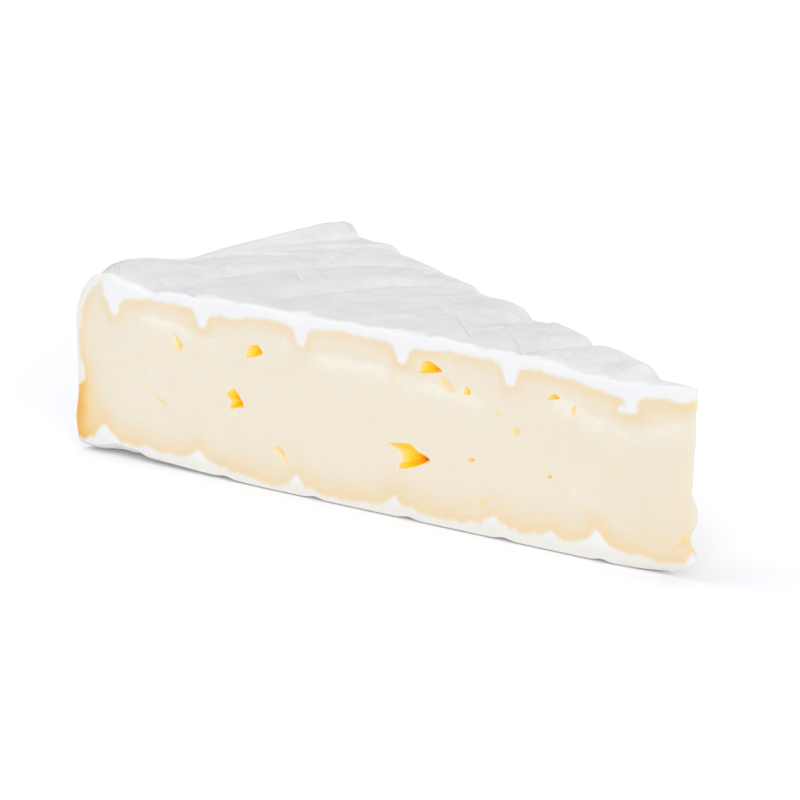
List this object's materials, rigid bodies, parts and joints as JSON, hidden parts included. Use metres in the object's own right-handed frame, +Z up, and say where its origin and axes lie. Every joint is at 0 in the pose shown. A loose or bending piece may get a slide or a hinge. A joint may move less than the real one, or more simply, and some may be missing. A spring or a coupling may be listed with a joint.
{
  "type": "brie wedge",
  "caption": "Long slim wedge of soft ripened cheese cut from a flat round wheel, with a creased white bloomy rind over and under a cream paste that has small torn eyes.",
  "frame": {"origin": "under the middle of the wedge's box, on the surface that it rests on", "axes": "+X from the rim of the wheel to the tip of the wedge, +Z up, the cut face that the picture shows towards -Y"},
  "size_m": [0.1668, 0.0682, 0.0397],
  "materials": {
    "cheese": "smooth moist cream paste on the cut faces, dry powdery white rind on top, underneath and round the rim"
  },
  "bodies": {
    "root": {"cheese_wedge": "cheese"}
  },
  "joints": []
}
